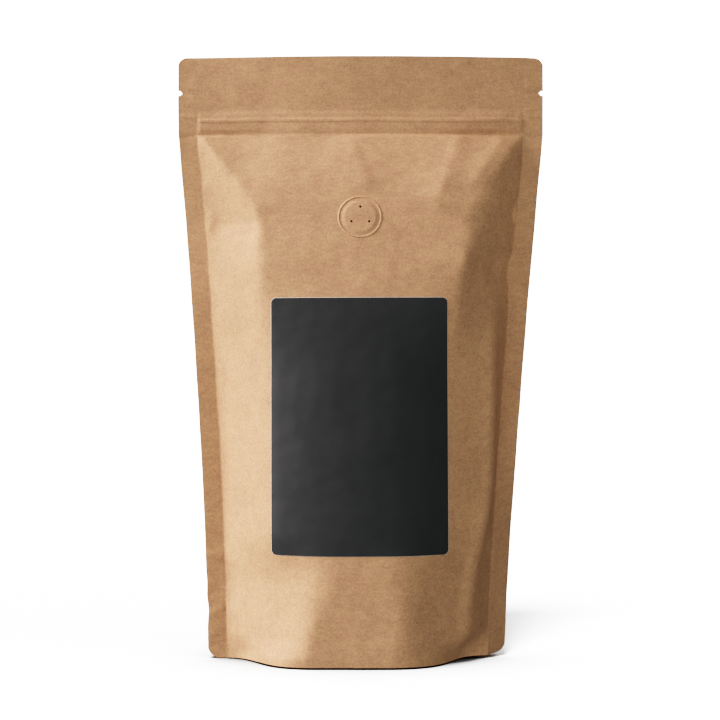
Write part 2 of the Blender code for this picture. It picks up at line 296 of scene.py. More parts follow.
class Wall:
    """One wall of the pouch as a table of points over its own width and height. The paper
    can't stretch, so at each height the slope is scaled until the wall fits between its seals,
    and then the whole of it until the middle stands as far out as the filling pushes it."""

    def __init__(self, front, left_slope, right_slope, relief):
        self.side = -1.0 if front else 1.0
        self.relief = relief
        self.arcs = np.linspace(0.0, 1.0, ARC_SAMPLES)
        self.heights = np.linspace(0.0, HEIGHT, ROW_SAMPLES)
        middle = belly(self.heights)[:, None]
        tables = (self.fit(left_slope, LEFT_NARROWING), self.fit(right_slope, RIGHT_NARROWING))
        self.halves = [(x, depth * middle / np.maximum(depth[:, :1], 1e-9))
                       for x, depth in tables]

    def fit(self, slope, narrowing):
        """(x, depth) tables of a half wall, a row for each height."""
        z = self.heights[:, None]
        shape, spare = slope(self.arcs[None, :], z)
        step = self.arcs[1] * (HALF_WALL + spare)
        wanted = edge_half_width(z, narrowing) - SIDE_SEAL
        low, high = np.zeros_like(z), np.full_like(z, math.radians(89.0))
        for _ in range(40):
            steepest = (low + high) / 2
            run = np.cos(steepest * shape)
            reach = (run[:, 1:] + run[:, :-1]).sum(1, keepdims=True) * step / 2
            low, high = (np.where(reach > wanted, steepest, low),
                         np.where(reach > wanted, high, steepest))
        x, fall = [np.hstack([np.zeros_like(z),
                              np.cumsum((way[:, 1:] + way[:, :-1]) * step / 2, axis=1)])
                   for way in (np.cos(low * shape), np.sin(low * shape))]
        return x, fall[:, -1:] - fall

    def at(self, u, z, offset=0.0):
        """Points of the wall at u along its width from the middle and at height z."""
        u, z = np.broadcast_arrays(np.asarray(u, float), np.asarray(z, float))
        arc = np.minimum(np.abs(u) / HALF_WALL, 1.0)
        row = np.clip(z / HEIGHT, 0.0, 1.0) * (ROW_SAMPLES - 1)
        column = arc * (ARC_SAMPLES - 1)
        x, depth = [np.where(u < 0, look_up(left, row, column), look_up(right, row, column))
                    for left, right in zip(*self.halves)]
        past_seal = np.maximum(np.abs(u) - HALF_WALL, 0.0)
        x = np.copysign(x + past_seal, u) + HEADER_SHIFT * smooth(z, SHIFT_FOOT, ZIP_FOOT)
        out = depth + offset + self.relief(u, z, arc)
        return np.stack([x, self.side * out - sway(u, x, z), z], axis=-1)


def look_up(table, row, column):
    """A table's value between its samples."""
    r = np.minimum(row.astype(int), table.shape[0] - 2)
    c = np.minimum(column.astype(int), table.shape[1] - 2)
    fr, fc = row - r, column - c
    below = table[r, c] * (1 - fc) + table[r, c + 1] * fc
    above = table[r + 1, c] * (1 - fc) + table[r + 1, c + 1] * fc
    return below * (1 - fr) + above * fr


def header_bow(x, z):
    """How far forward the pouch's middle plane leans, most at the top and at the middle, with
    the left edge curled back to face the front."""
    across = np.minimum((2.0 * x / FLAT_WIDTH) ** 2, 1.0)
    up = np.clip((z - BOW_FOOT) / (HEIGHT - BOW_FOOT), 0.0, 1.0) ** 1.6
    return HEADER_BOW * up * (1.0 - across) ** np.where(x < 0.0, 2.0, 1.0)


# ---- Folds --------------------------------------------------------------------------------
# A fold is a line on a wall from one place to another, each given as (u, z) in millimetres, u
# from the wall's middle towards the right. It stands out by its height, or sinks in where that
# is negative, and dies away over one width on the line's left and another on its right.
FRONT_FOLDS = (
    # start, end, height, width left and right of the line, softness of the crest
    ((-66.0, 188.8), (-42.5, 190.6), -1.6, 11.0, 8.0, 0.35),   # valley across the left shoulder
    ((-70.0, 230.0), (-42.5, 191.5), 1.5, 8.0, 4.6, 0.4),     # ridge from the zip down to it
    ((-41.5, 192.0), (-40.0, 160.0), 0.45, 4.0, 3.5, 1.0),    # and on down the wall
    ((-73.0, 190.2), (-68.0, 188.2), 0.55, 1.2, 1.6, 0.7),    # where the valley meets the seal
    ((3.3, 206.0), (-5.2, 229.0), 0.9, 5.0, 14.0, 0.8),       # fans of small folds below the zip
    ((32.0, 198.0), (43.5, 230.0), 2.5, 9.0, 22.0, 1.4),
    ((47.5, 208.0), (62.5, 229.0), 2.0, 7.0, 10.0, 1.0),
    ((47.0, 173.0), (63.0, 171.5), -1.5, 5.0, 9.0, 1.0),      # dents in the right shoulder
    ((44.0, 168.0), (49.0, 158.0), -0.45, 2.0, 3.5, 1.2),
    ((-66.0, 141.5), (-50.0, 139.5), -0.28, 3.0, 3.5, 1.2),   # dents in the left side
    ((-70.0, 118.0), (-52.0, 121.0), -0.2, 3.5, 3.5, 1.5),
    ((-71.0, 96.0), (-58.0, 93.0), -0.18, 3.0, 3.0, 1.2),
    ((-72.0, 45.8), (-65.0, 42.6), 0.45, 1.6, 1.8, 0.5),      # where the gusset's fold ends
    ((-71.5, 30.0), (-70.5, 12.0), 0.35, 1.4, 2.0, 0.8),      # small creases round the foot
    ((-72.5, 22.5), (-67.0, 19.5), 0.5, 1.4, 1.8, 0.6),
    ((-38.5, 28.6), (-31.0, 27.4), 0.22, 1.6, 1.6, 0.9),
    ((14.0, 6.0), (19.0, 31.0), 0.3, 5.0, 2.0, 1.2),
    ((-23.0, 2.0), (-19.0, 20.0), 0.25, 2.0, 5.0, 1.2),
    ((58.0, 20.0), (66.0, 13.5), 0.4, 1.5, 1.5, 0.6),
)
BACK_FOLDS = (
    ((-70.0, 182.0), (-44.0, 184.5), -0.9, 5.0, 8.0, 1.2),
    ((-43.0, 184.0), (-40.0, 150.0), 0.4, 5.0, 4.0, 1.8),
    ((45.0, 196.0), (70.0, 191.0), -0.8, 6.0, 5.0, 1.3),
    ((10.0, 206.0), (6.0, 229.0), 0.6, 3.0, 4.0, 1.0),
    ((-28.0, 204.0), (-36.0, 229.0), 0.7, 3.5, 6.0, 1.4),
    ((50.0, 140.0), (69.0, 136.0), -0.3, 3.0, 4.0, 1.2),
    ((-69.0, 108.0), (-55.0, 112.0), -0.25, 3.0, 3.0, 1.2),
    ((64.0, 42.5), (72.0, 45.8), 0.4, 1.6, 1.8, 0.5),
    ((-72.0, 45.8), (-65.0, 43.0), 0.4, 1.6, 1.8, 0.5),
    ((18.0, 5.0), (21.0, 34.0), 0.35, 4.0, 2.5, 1.4),
    ((-21.0, 4.0), (-16.0, 38.0), 0.35, 2.5, 4.0, 1.4),
)
# Creases that bend a side seal or the header forwards, both walls together.
SEAM_FOLDS = (
    ((-80.0, 45.6), (-71.5, 46.2), 0.35, 0.9, 1.1, 0.25),
    ((71.5, 46.2), (80.0, 45.6), 0.3, 0.9, 1.1, 0.25),
    ((-80.0, 237.6), (-72.0, 237.2), 0.22, 0.8, 0.8, 0.25),
    ((-80.0, 228.2), (-71.5, 229.6), -0.3, 1.1, 0.9, 0.25),
    ((71.5, 229.6), (80.0, 228.4), -0.26, 0.9, 1.1, 0.25),
    ((72.0, 237.2), (80.0, 237.5), 0.2, 0.8, 0.8, 0.25),
    ((72.0, 240.6), (80.0, 240.9), 0.2, 0.8, 0.8, 0.25),
    ((-80.0, 19.0), (-72.0, 22.5), 0.55, 2.0, 2.4, 0.6),
    ((-80.0, 29.0), (-73.0, 31.0), -0.3, 2.5, 2.5, 0.8),
    ((-79.0, 9.0), (-73.0, 14.0), 0.3, 2.0, 2.0, 0.6),
    ((74.0, 31.0), (80.0, 27.0), 0.3, 2.5, 2.5, 0.8),
    ((73.0, 12.0), (80.0, 16.0), -0.25, 2.0, 2.0, 0.7),
)


def fold(u, z, start, end, height, left, right, soft):
    """The height of a fold at each place, in metres, and none well beyond its two ends."""
    (start_u, start_z), (end_u, end_z) = start, end
    length = math.hypot(end_u - start_u, end_z - start_z)
    way_u, way_z = (end_u - start_u) / length, (end_z - start_z) / length
    off_u, off_z = u / MM - start_u, z / MM - start_z
    along = off_u * way_u + off_z * way_z
    across = off_z * way_u - off_u * way_z
    width = np.where(across > 0.0, left, right)
    fall = np.exp((soft - np.sqrt(across**2 + soft**2)) / width)
    fade = min(0.2 * length, 4.0) + 0.5
    ends = smooth(along, -fade, fade) * smooth(length - along, -fade, fade)
    return height * MM * fall * ends


def folds(u, z, lines):
    """All the folds of a list together."""
    return sum(fold(u, z, *line) for line in lines)


def crinkle(u, z, seed, longest, waves=26):
    """Low waves in every direction, about 1 high in all, as stiff paper keeps after handling."""
    draw = np.random.default_rng(seed)
    height = 0.0
    for _ in range(waves):
        length = longest * draw.uniform(0.25, 1.0)
        turn, phase = draw.uniform(0.0, math.pi), draw.uniform(0.0, 2 * math.pi)
        way = (u * math.cos(turn) + z * math.sin(turn)) * 2 * math.pi / length
        height = height + (length / longest) ** 1.3 * np.sin(way + phase)
    return height * math.sqrt(2.0 / waves)


def zip_relief(u, z, arc):
    """The zip strip under the paper, proudest towards its ends and crushed flat where the side
    seals cross it."""
    z = z + 0.18 * MM * crinkle(u, 0.0 * z, 5, 60.0 * MM)
    low, high = ZIP_RIDGE
    ends = smooth(arc, 0.45, 0.8)
    swell = smooth(z, ZIP_FOOT, high) * (1.0 - smooth(z, high, ZIP_TOP))
    foot = smooth(z, ZIP_FOOT, ZIP_FOOT + 2.6 * MM) * (1.0 - smooth(z, ZIP_FOOT, ZIP_TOP))
    ridge = smooth(z, low - 0.4 * MM, low + 0.4 * MM) * (
        1.0 - smooth(z, high - 0.4 * MM, high + 0.4 * MM))
    bead = near(z, 238.4, 0.7)
    ends_flat = 1.0 - 0.85 * smooth(arc, 0.84, 0.999)
    inside = 1.0 - smooth(arc, 0.972, 0.999)
    return MM * inside * ((0.2 + 0.5 * ends) * ends_flat * swell + (0.14 + 0.42 * ends) * foot
                          + 0.28 * ridge + 0.09 * bead)


def strip_lean(z, arc):
    """How far the middle of the wall already stands out over the zip strip and below it."""
    return (STRIP_LEAN * (1.0 - smooth(arc, 0.35, 0.85)) * smooth(-z, -ZIP_TOP, -ZIP_FOOT)
            * smooth(z, SHIFT_FOOT, ZIP_FOOT))


def wall_relief(u, z, arc, lines, seed):
    """What stands out from the smooth wall: its zip, its folds and its crinkles."""
    inside = (1.0 - smooth(arc, 0.98, 1.0)) * (1.0 - smooth(z, 228.0 * MM, ZIP_FOOT))
    soft = SOFT_WAVE * crinkle(u, z, seed, 34.0 * MM)
    fine = FINE_WAVE * crinkle(u, z, seed + 1, 9.0 * MM)
    return (zip_relief(u, z, arc) + strip_lean(z, arc)
            + (folds(u, z, lines) + soft + fine) * inside)


def front_relief(u, z, arc):
    """What stands out from the front wall."""
    return wall_relief(u, z, arc, FRONT_FOLDS, 11)


def back_relief(u, z, arc):
    """What stands out from the back wall."""
    return wall_relief(u, z, arc, BACK_FOLDS, 23)


def valve_pocket(u, z):
    """How far the wall is cut away behind the valve's cap, which hides it."""
    away = np.hypot(u, z - VALVE_PLACE)
    return POCKET_DEPTH * (1.0 - smooth(away, POCKET_RADIUS - 1.2 * MM, POCKET_RADIUS))


def fin_curl(u, z):
    """How far back a side seal's outer edge curls: the left by its valley, the right at its
    foot."""
    past = np.clip((np.abs(u) - HALF_WALL) / SIDE_SEAL, 0.0, 1.0)
    left = 1.0 * near(z, 180, 22) - 0.3 * (1.0 - smooth(z, 0.1, 0.15))
    right = 8.0 * (1.0 - smooth(z, 0.025, 0.12))
    return MM * past * np.where(u < 0, left, right)


def sway(u, x, z):
    """How far forward both walls go together: the header's bow and waves, the seals' creases."""
    seam = smooth(np.abs(u), HALF_WALL - 1.5 * MM, HALF_WALL + 0.5 * MM)
    header = smooth(z, 226.0 * MM, ZIP_FOOT)
    waves = 0.14 * MM * crinkle(u, z, 31, 40.0 * MM) * np.maximum(seam, header)
    return header_bow(x, z) + waves + folds(u, z, SEAM_FOLDS) * seam - fin_curl(u, z)


# ---- Grid lines ---------------------------------------------------------------------------
def spread(stations, steps):
    """Values along a line of stations, with even steps of about the given size in each."""
    values = [stations[0]]
    for start, end, step in zip(stations, stations[1:], steps):
        count = max(1, round((end - start) / step))
        values += list(np.linspace(start, end, count + 1)[1:])
    return values


def columns(step):
    """Places across a wall, closest at the seals' inner edges."""
    half = spread((0.0, HALF_WALL - 3 * MM, HALF_WALL + 1 * MM, FLAT_WIDTH / 2),
                  (step, 0.3 * MM, step))
    return np.array([-u for u in reversed(half[1:])] + half)


def rows(settings):
    """Heights up a wall, closest at the rounded corners, over the zip and at the notches."""
    step, notch = settings.mesh_step, settings.notch_opening / 2
    quarter = np.linspace(0.0, math.pi / 2, 9)
    foot = [FOOT_CORNER * (1.0 - math.cos(angle)) for angle in quarter]
    top = [HEIGHT - TOP_CORNER * (1.0 - math.cos(angle)) for angle in quarter[::-1]]
    body = spread((foot[-1], ZIP_FOOT - 3 * MM, ZIP_TOP + 1 * MM, NOTCH_HEIGHT - notch - CUT,
                   NOTCH_HEIGHT - notch, NOTCH_HEIGHT, NOTCH_HEIGHT + notch,
                   NOTCH_HEIGHT + notch + CUT, top[0]),
                  (step, 0.3 * MM, step, CUT, notch / 4, notch / 4, CUT, step))
    return np.array(foot + body[1:-1] + top)


def corner_inset(z):
    """How far a rounded corner takes the outer edge in at each height."""
    inset = np.zeros_like(z)
    for height, radius in ((z, FOOT_CORNER), (HEIGHT - z, TOP_CORNER)):
        foot_occlusion = np.clip(radius - height, 0.0, radius)
        inset += radius - np.sqrt(radius**2 - foot_occlusion**2)
    return inset


def tear_notch(z, settings):
    """How far in the outer edge lies at a height: each notch has square sides and a point."""
    away = np.abs(z - NOTCH_HEIGHT) / (settings.notch_opening / 2)
    depth = settings.notch_depth * (0.52 + 0.48 * (1.0 - away))
    return np.where(away <= 1.0 + 1e-6, depth, 0.0)


def edge_waver(u, z):
    """How far the trimmed outer edge wanders in, most where the left foot is crumpled."""
    crumple = np.exp(-((z / MM - 21.0) / 4.0) ** 2) - 0.5 * np.exp(-((z / MM - 33.0) / 6.0) ** 2)
    side = np.where(u < 0, 0.5 * MM * crumple, 0.0)
    return side + 0.09 * MM * crinkle(np.sign(u) * 3.0, z, 41, 45.0 * MM)


def lifted(z, u):
    """A row's height over the lifted rim and the foot corners, which curl up."""
    arc = np.abs(u) / HALF_WALL
    left = RIM_LIFT + (LEFT_LIFT - RIM_LIFT) * smooth(arc, 0.6, 1.0)
    right = RIM_LIFT + (RIGHT_LIFT - RIM_LIFT) * smooth(arc, 0.76, 1.0)
    return z + np.where(u < 0, left, right) * np.maximum(0.0, 1.0 - z / GUSSET_FOLD)


# ---- The pouch ----------------------------------------------------------------------------
def wall_grid(wall, us, zs, settings):
    """A wall's points, a row for each height, fins and rounded corners included."""
    u, z = np.meshgrid(us, zs)
    pocket = valve_pocket(u, z) if wall.side < 0 else 0.0
    points = wall.at(u, z, settings.wall_pair / 2 - pocket)
    fin_share = np.clip((np.abs(u) - HALF_WALL) / SIDE_SEAL, 0.0, 1.0)
    trim = corner_inset(z) + edge_waver(u, z) + tear_notch(z, settings)
    points[..., 0] -= np.copysign(trim * fin_share, u)
    points[..., 2] = lifted(z, u)
    return points


def gusset_lines(front, back, us):
    """The gusset's points, a line from the front skirt to the back skirt for each column."""
    arc = np.abs(us) / HALF_WALL
    seal_height = SKIRT_SEAL + (GUSSET_FOLD - SKIRT_SEAL) * arc**3
    fold_height = GUSSET_FOLD * np.maximum(0.0, (arc - FLOOR_SHARE) / (1.0 - FLOOR_SHARE)) ** 2
    halves = []
    for wall in (front, back):
        skirt = []
        for share in np.linspace(0.0, 1.0, 9):
            points = wall.at(us, seal_height * share, 0.0)
            points[..., 2] = lifted(points[..., 2], us)
            skirt.append(points)
        seal = skirt[-1]
        slope = []
        for share in np.linspace(0.0, 1.0, 19)[1:-1]:
            points = seal.copy()
            points[..., 1] *= 1.0 - share
            fall = np.maximum(0.0, 1.0 - share / 0.6) ** 2
            points[..., 2] = fold_height + (seal[..., 2] - fold_height) * fall
            slope.append(points)
        halves.append(skirt + slope)
    ridge = halves[0][-1].copy()
    ridge[..., 1], ridge[..., 2] = 0.0, fold_height
    return np.stack(halves[0] + [ridge] + halves[1][::-1], axis=1)


def add_quads(bm, lower, upper):
    """Faces between two lines of vertices, leaving out what has no area."""
    for a, b, c, d in zip(lower, lower[1:], upper[1:], upper):
        corners = list(dict.fromkeys((a, b, c, d)))
        if len(corners) > 2:
            bm.faces.new(corners)


def add_grid(bm, points):
    """Vertices for a grid of points, and the faces between its rows."""
    grid = [[bm.verts.new(p) for p in line] for line in points]
    for lower, upper in zip(grid, grid[1:]):
        add_quads(bm, lower, upper)
    return grid


def pouch_skin(front, back, settings):
    """One closed skin: both walls, the edges between them and the gusset underneath."""
    us, zs = columns(settings.mesh_step), rows(settings)
    bm = bmesh.new()
    fore = add_grid(bm, wall_grid(front, us, zs, settings))
    rear = add_grid(bm, wall_grid(back, us, zs, settings))
    add_quads(bm, fore[-1], rear[-1])
    for edge in (0, -1):
        add_quads(bm, [line[edge] for line in fore], [line[edge] for line in rear])
    inner = [i for i, u in enumerate(us) if abs(u) <= HALF_WALL + 1e-9]
    gusset = add_grid(bm, gusset_lines(front, back, us[inner]))
    add_quads(bm, [fore[0][i] for i in inner], [line[0] for line in gusset])
    add_quads(bm, [line[-1] for line in gusset], [rear[0][i] for i in inner])
    for fin, tip in ((range(inner[0], -1, -1), gusset[0][0]),
                     (range(inner[-1], len(us)), gusset[-1][0])):
        first, second = fin[0], fin[1]
        bm.faces.new((fore[0][first], fore[0][second], rear[0][second], rear[0][first], tip))
        add_quads(bm, [fore[0][i] for i in fin[1:]], [rear[0][i] for i in fin[1:]])
    bmesh.ops.remove_doubles(bm, verts=bm.verts, dist=1e-6)
    bmesh.ops.recalc_face_normals(bm, faces=bm.faces)
    return bm


# ---- The label ----------------------------------------------------------------------------
def label_grid(wall, settings, trim, offset):
    """Points of the label's face or underside, its outline trimmed in by a little."""
    half_width, radius = settings.width / 2 - trim, settings.corner - trim
    half_height = (LABEL_HIGH.z - LABEL_LOW.z) / 2 - trim
    rounding = [radius * (1.0 - math.cos(angle)) for angle in np.linspace(0, math.pi / 2, 7)]
    low = [-half_height + inset for inset in rounding]
    middle = np.linspace(-half_height + radius, half_height - radius, LABEL_ROWS)
    b = np.array(low + list(middle[1:-1]) + [-level for level in reversed(low)])
    past = np.clip(np.abs(b) - half_height + radius, 0.0, radius)
    reach = half_width - radius + np.sqrt(radius**2 - past**2)
    edge_steps = spread((-1.0, -0.96, 0.96, 1.0), (0.01, 1.92 / LABEL_COLUMNS, 0.01))
    a, b = np.array(edge_steps)[None, :] * reach[:, None], b[:, None]
    middle_z = (LABEL_HIGH.z + LABEL_LOW.z) / 2
    x = a * math.cos(settings.turn) - b * math.sin(settings.turn)
    z = middle_z + a * math.sin(settings.turn) + b * math.cos(settings.turn)
    u = x
    for _ in range(8):                      # the place on the paper that lies at this x
        u = u + x - wall.at(u, z)[..., 0]
    return wall.at(u, z, offset)


def label_sheet(wall, settings, pouch):
    """The label's closed skin: its printed face, its cut edge and its underside."""
    under = pouch.wall_pair / 2 + LABEL_LIFT
    bm = bmesh.new()
    face = add_grid(bm, label_grid(wall, settings, CUT_EDGE, under + settings.thickness))
    back = add_grid(bm, label_grid(wall, settings, 0.0, under))
    printed = set(bm.faces)
    for line in (0, -1):
        add_quads(bm, face[line], back[line])
        add_quads(bm, [row[line] for row in face], [row[line] for row in back])
    for cut in set(bm.faces) - printed:
        cut.material_index = 1
    bmesh.ops.recalc_face_normals(bm, faces=bm.faces)
    return bm


# ---- The valve ----------------------------------------------------------------------------
def cap_height(r, settings):
    """How far the paper stands out at a distance from the valve's middle."""
    cap = settings.cap * (1.0 - smooth(r, settings.cap_radius, settings.shoulder_radius))
    bead = settings.bead * np.exp(-((r - settings.bead_circle) / (0.3 * MM)) ** 2)
    return cap + bead + CAP_LIFT


def valve_cap(wall, settings, pouch):
    """A closed disc of paper over the valve, its border sunk into the wall around it."""
    border = settings.bead_circle + 0.75 * MM
    r = np.array(spread((0.4 * MM, settings.cap_radius - 0.3 * MM, border),
                        (0.45 * MM, 0.11 * MM)))[:, None]
    angle = np.linspace(0.0, 2 * math.pi, VALVE_SPOKES, endpoint=False)[None, :]
    u, z = r * np.cos(angle), VALVE_PLACE + r * np.sin(angle)
    sunk = 0.16 * MM * smooth(r, border - 0.4 * MM, border)
    top = wall.at(u, z, pouch.wall_pair / 2 + cap_height(r, settings) - sunk)
    under = wall.at(u, z, pouch.wall_pair / 2 + cap_height(r, settings) - CAP_PAPER)
    bm = bmesh.new()
    faces = []
    for rings in (top, under):
        grid = add_grid(bm, np.concatenate([rings, rings[:, :1]], axis=1))
        bm.faces.new(grid[0][:-1])
        faces.append(grid)
    add_quads(bm, faces[0][-1], faces[1][-1])
    bmesh.ops.remove_doubles(bm, verts=bm.verts, dist=1e-7)
    bmesh.ops.recalc_face_normals(bm, faces=bm.faces)
    return bm


def perforation_tree():
    """Geometry nodes that pierce a sheet with pins standing evenly round a circle."""
    tree = bpy.data.node_groups.new("Pinholes", "GeometryNodeTree")
    sockets = tree.interface
    sockets.new_socket("Geometry", in_out="OUTPUT", socket_type="NodeSocketGeometry")
    sockets.new_socket("Geometry", in_out="INPUT", socket_type="NodeSocketGeometry")
    for name, kind in (("Holes", "Int"), ("Circle Radius", "Float"), ("Hole Radius", "Float"),
                       ("Depth", "Float"), ("First Hole", "Vector"), ("Place", "Vector"),
                       ("Tilt", "Vector"), ("Material", "Material")):
        sockets.new_socket(name, in_out="INPUT", socket_type="NodeSocket" + kind)
    given = add_node(tree, "NodeGroupInput").outputs
    circle = add_node(tree, "GeometryNodeMeshCircle", Vertices=given["Holes"],
                      Radius=given["Circle Radius"])
    pin = add_node(tree, "GeometryNodeMeshCylinder", Vertices=28, Radius=given["Hole Radius"],
                   Depth=given["Depth"])
    pins = add_node(tree, "GeometryNodeInstanceOnPoints", Points=circle.outputs["Mesh"],
                    Instance=pin.outputs["Mesh"])
    whole = add_node(tree, "GeometryNodeRealizeInstances", Geometry=pins.outputs["Instances"])
    turned = add_node(tree, "GeometryNodeTransform", Geometry=whole.outputs["Geometry"],
                      Rotation=given["First Hole"])
    placed = add_node(tree, "GeometryNodeTransform", Geometry=turned.outputs["Geometry"],
                      Rotation=given["Tilt"], Translation=given["Place"])
    cut = add_node(tree, "GeometryNodeMeshBoolean",
                   {"operation": "DIFFERENCE", "solver": "EXACT"}, _0=given["Geometry"],
                   _1=placed.outputs["Geometry"])
    real = add_node(tree, "GeometryNodeRealizeInstances", Geometry=cut.outputs["Mesh"])
    coat = add_node(tree, "GeometryNodeSetMaterial", Geometry=real.outputs["Geometry"],
                    Material=given["Material"])
    add_node(tree, "NodeGroupOutput", Geometry=coat.outputs["Geometry"])
    return tree


def pierced(blank, name, settings, paper):
    """The valve's cap with its pinholes, square to the wall."""
    wall = front_wall()
    low, high = wall.at(0.0, VALVE_PLACE - 3 * MM), wall.at(0.0, VALVE_PLACE + 3 * MM)
    lean = math.atan2(high[1] - low[1], high[2] - low[2])
    tree = perforation_tree()
    modifier = blank.modifiers.new("Pinholes", "NODES")
    modifier.node_group = tree
    values = {"Holes": settings.holes, "Circle Radius": settings.hole_circle,
              "Hole Radius": settings.hole_radius, "Depth": 4.0 * MM,
              "First Hole": (0.0, 0.0, math.pi / 2),
              "Place": tuple(wall.at(0.0, VALVE_PLACE)),
              "Tilt": (math.pi / 2 - lean, 0.0, 0.0), "Material": paper}
    for socket in tree.interface.items_tree:
        if socket.in_out == "INPUT" and socket.name in values:
            modifier[socket.identifier] = values[socket.name]
    graph = bpy.context.evaluated_depsgraph_get()
    mesh = bpy.data.meshes.new_from_object(blank.evaluated_get(graph))
    mesh.name = name
    bpy.data.objects.remove(blank)
    return placed(mesh, name)


# ---- Materials ----------------------------------------------------------------------------
def add_node(tree, kind, settings=None, **inputs):
    """A node with its settings, and its inputs set to values or linked to sockets."""
    node = tree.nodes.new(kind)
    for name, value in (settings or {}).items():
        setattr(node, name, value)
    for name, value in inputs.items():
        socket = node.inputs[int(name[1:])] if name[1:].isdigit() else node.inputs[
            name.replace("_", " ")]
        if isinstance(value, bpy.types.NodeSocket):
            tree.links.new(value, socket)
        else:
            socket.default_value = value
    return node


def new_material(name, roughness, specular):
    """A material, its tree and its shader."""
    material = bpy.data.materials.new(name)
    material.use_nodes = True
    shader = material.node_tree.nodes["Principled BSDF"]
    shader.inputs["Roughness"].default_value = roughness
    shader.inputs["Specular IOR Level"].default_value = specular
    return material, material.node_tree, shader


def grain(tree, place, size, stretch=(1.0, 1.0, 1.0), detail=2.0, rough=0.5):
    """Noise whose spots are about size across, drawn out where stretch is below 1."""
    mapping = add_node(tree, "ShaderNodeMapping", Vector=place, Scale=stretch)
    return add_node(tree, "ShaderNodeTexNoise", Vector=mapping.outputs[0], Scale=1.0 / size,
                    Detail=detail, Roughness=rough).outputs["Fac"]


def weighted(tree, parts):
    """The sum of each pattern's distance from its middle times its weight, about 0.5."""
    total = 0.5
    for pattern, weight in parts:
        away = add_node(tree, "ShaderNodeMath", {"operation": "SUBTRACT"}, _0=pattern, _1=0.5)
        total = add_node(tree, "ShaderNodeMath", {"operation": "MULTIPLY_ADD"},
                         _0=away.outputs[0], _1=weight, _2=total).outputs[0]
    return total


def kraft_paper(settings):
    """Unbleached kraft paper, machine finished and laminated inside. Its brown fibres lie
    mostly across the web and clump, which gives a fine fleck, short level streaks and soft
    clouds; the uncoated face stays matt and slightly fuzzy."""
    material, tree, shader = new_material("Unbleached kraft paper", 0.75, 0.25)
    place = add_node(tree, "ShaderNodeTexCoord").outputs["Object"]
    fleck = grain(tree, place, 0.8 * MM, detail=1.0)
    streak = grain(tree, place, 1.1 * MM, stretch=(0.3, 1.0, 1.0))
    clump = grain(tree, place, 3.2 * MM, stretch=(0.8, 1.0, 1.0))
    cloud = grain(tree, place, 13.0 * MM)
    tone = weighted(tree, ((fleck, 1.5), (streak, 0.8), (clump, 0.7), (cloud, 0.7)))
    fibres = add_node(tree, "ShaderNodeMix", {"data_type": "RGBA", "clamp_factor": True},
                      Factor=tone, _6=(*settings.dark_fibre, 1.0),
                      _7=(*settings.light_fibre, 1.0))
    tint = grain(tree, place, 5.0 * MM, detail=1.0)
    hue = add_node(tree, "ShaderNodeMapRange", Value=tint, _1=0.3, _2=0.7, _3=0.4975, _4=0.5025)
    final = add_node(tree, "ShaderNodeHueSaturation", Hue=hue.outputs[0],
                     Color=fibres.outputs[2])
    tree.links.new(final.outputs["Color"], shader.inputs["Base Color"])
    fuzz = weighted(tree, ((fleck, 0.5), (streak, 0.5), (clump, 0.8)))
    bump = add_node(tree, "ShaderNodeBump", Strength=0.5, Distance=0.06 * MM, Height=fuzz)
    tree.links.new(bump.outputs[0], shader.inputs["Normal"])
    sheen = add_node(tree, "ShaderNodeMapRange", Value=clump, _3=0.68, _4=0.82)
    tree.links.new(sheen.outputs[0], shader.inputs["Roughness"])
    return material


def black_label(settings):
    """Matt black flexographic ink on coated paper: a very even dark face with a trace of the
    paper's own mottle, lighter where it turns to the light."""
    material, tree, shader = new_material("Matt black coated paper", 0.55, 0.2)
    place = add_node(tree, "ShaderNodeTexCoord").outputs["Object"]
    mottle = grain(tree, place, 2.4 * MM, stretch=(0.7, 1.0, 1.0))
    cloud = grain(tree, place, 16.0 * MM)
    tone = weighted(tree, ((mottle, 0.35), (cloud, 0.5)))
    dark, pale = ([c * way for c in settings.black] + [1.0] for way in (0.78, 1.22))
    ink = add_node(tree, "ShaderNodeMix", {"data_type": "RGBA"}, Factor=tone, _6=dark, _7=pale)
    tree.links.new(ink.outputs[2], shader.inputs["Base Color"])
    rough = add_node(tree, "ShaderNodeMapRange", Value=mottle, _3=0.48, _4=0.62)
    tree.links.new(rough.outputs[0], shader.inputs["Roughness"])
    bump = add_node(tree, "ShaderNodeBump", Strength=0.3, Distance=0.02 * MM, Height=mottle)
    tree.links.new(bump.outputs[0], shader.inputs["Normal"])
    return material


def label_core(settings):
    """Bleached paper stock cut through by the die: a thin pale fibrous line round the label."""
    material, tree, shader = new_material("Bleached label stock", 0.85, 0.2)
    place = add_node(tree, "ShaderNodeTexCoord").outputs["Object"]
    tone = weighted(tree, ((grain(tree, place, 0.6 * MM), 0.8),))
    dull = [c * 0.8 for c in settings.core] + [1.0]
    paper = add_node(tree, "ShaderNodeMix", {"data_type": "RGBA"}, Factor=tone, _6=dull,
                     _7=(*settings.core, 1.0))
    tree.links.new(paper.outputs[2], shader.inputs["Base Color"])
    return material


